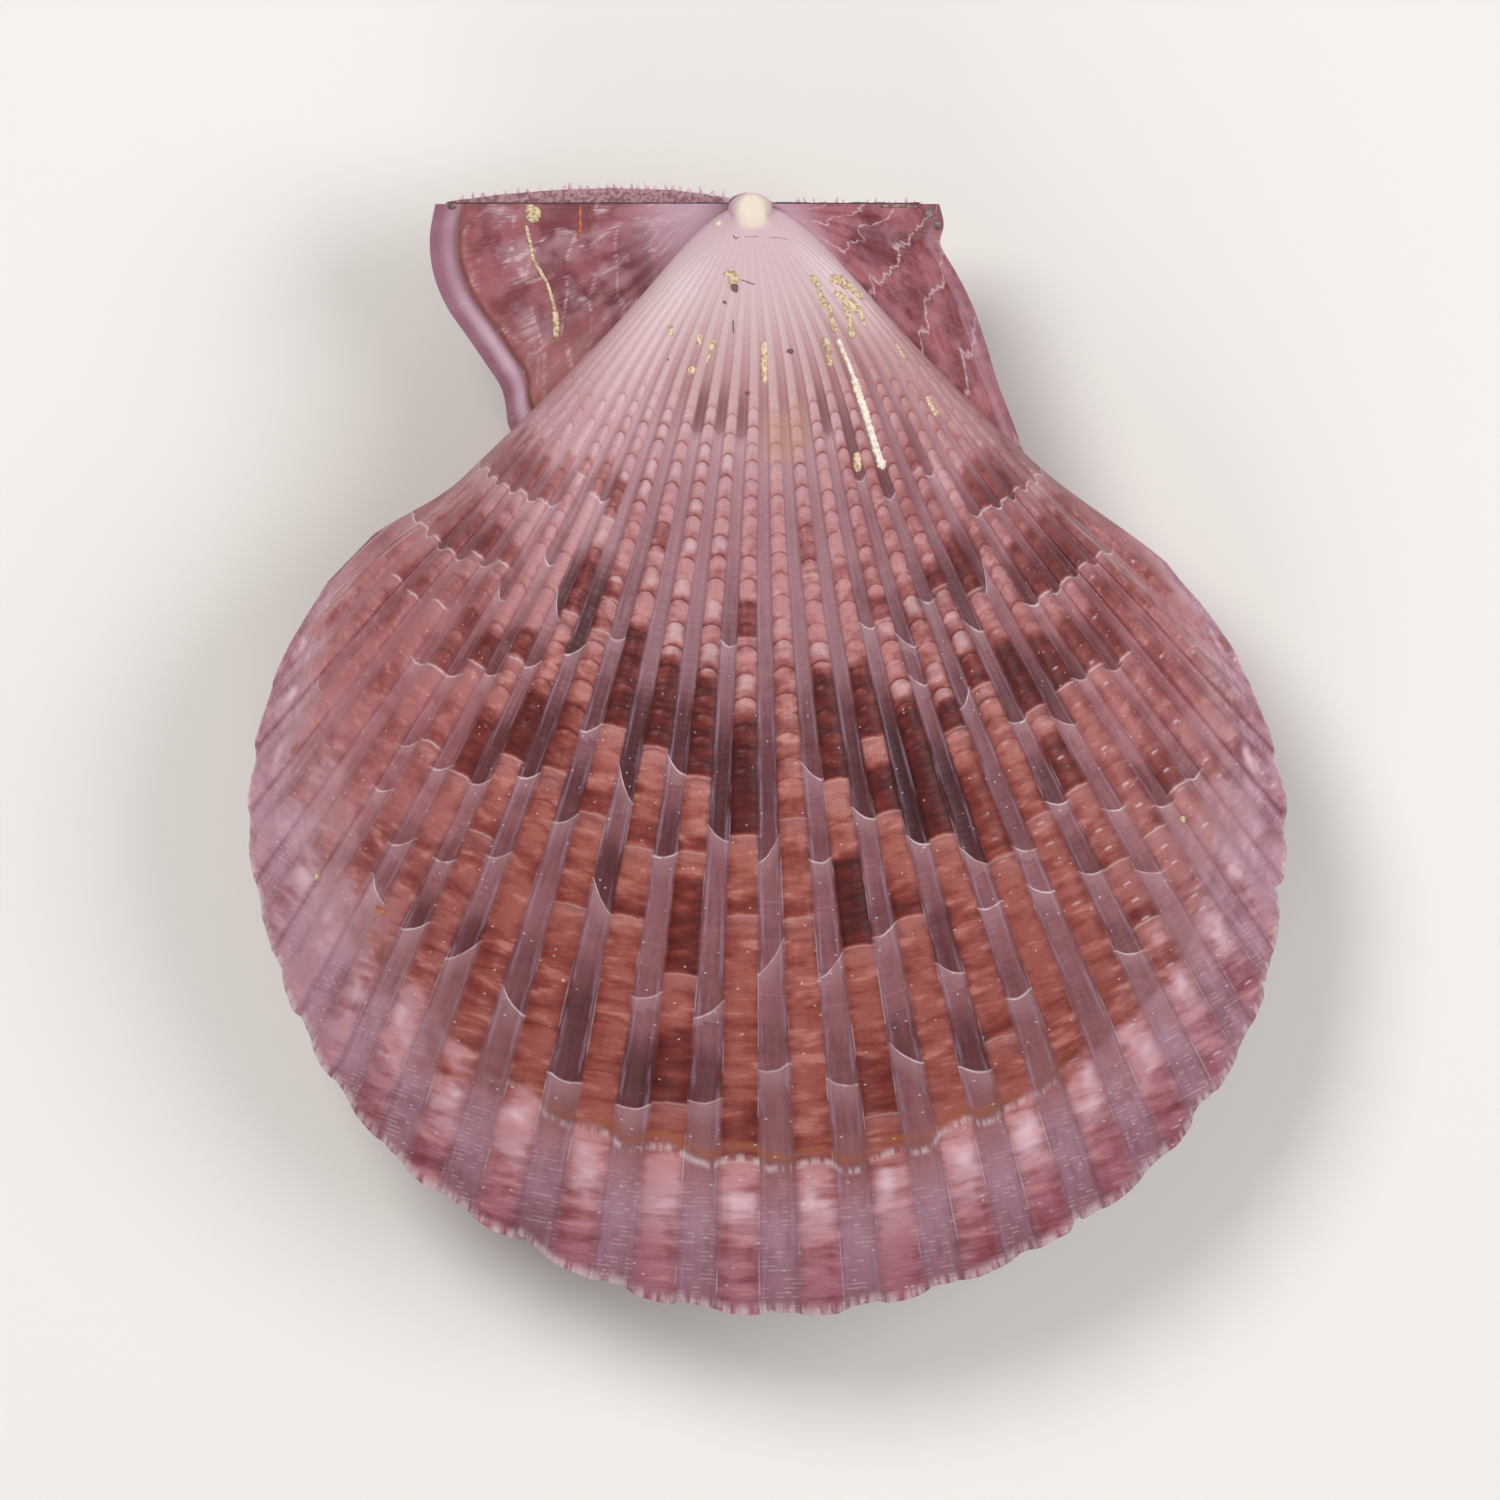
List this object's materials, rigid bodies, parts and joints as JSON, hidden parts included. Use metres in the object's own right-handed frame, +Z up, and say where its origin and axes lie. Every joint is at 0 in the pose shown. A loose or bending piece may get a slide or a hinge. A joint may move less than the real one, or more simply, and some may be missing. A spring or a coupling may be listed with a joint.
{
  "type": "scallop shell",
  "caption": "Closed scallop shell, purple-pink with ribbed fan-shaped valves and unequal ears, lying on its right valve.",
  "frame": {"origin": "middle of the outline seen from above, on the surface that the shell rests on", "axes": "+Z up through the thickness of the closed shell, from the right valve to the left valve; +Y from the ventral margin to the hinge; +X towards the posterior, smaller ear"},
  "size_m": [0.0538, 0.0584, 0.02],
  "materials": {
    "upper_shell": "satin, ribbed, purple-pink with brick-red ribs and dark patches",
    "lower_shell": "satin, ribbed, pale pink with mauve rays",
    "ligament": "dull, dried"
  },
  "bodies": {
    "root": {"left_valve": "upper_shell", "right_valve": "lower_shell", "hinge_ligament": "ligament"}
  },
  "joints": []
}
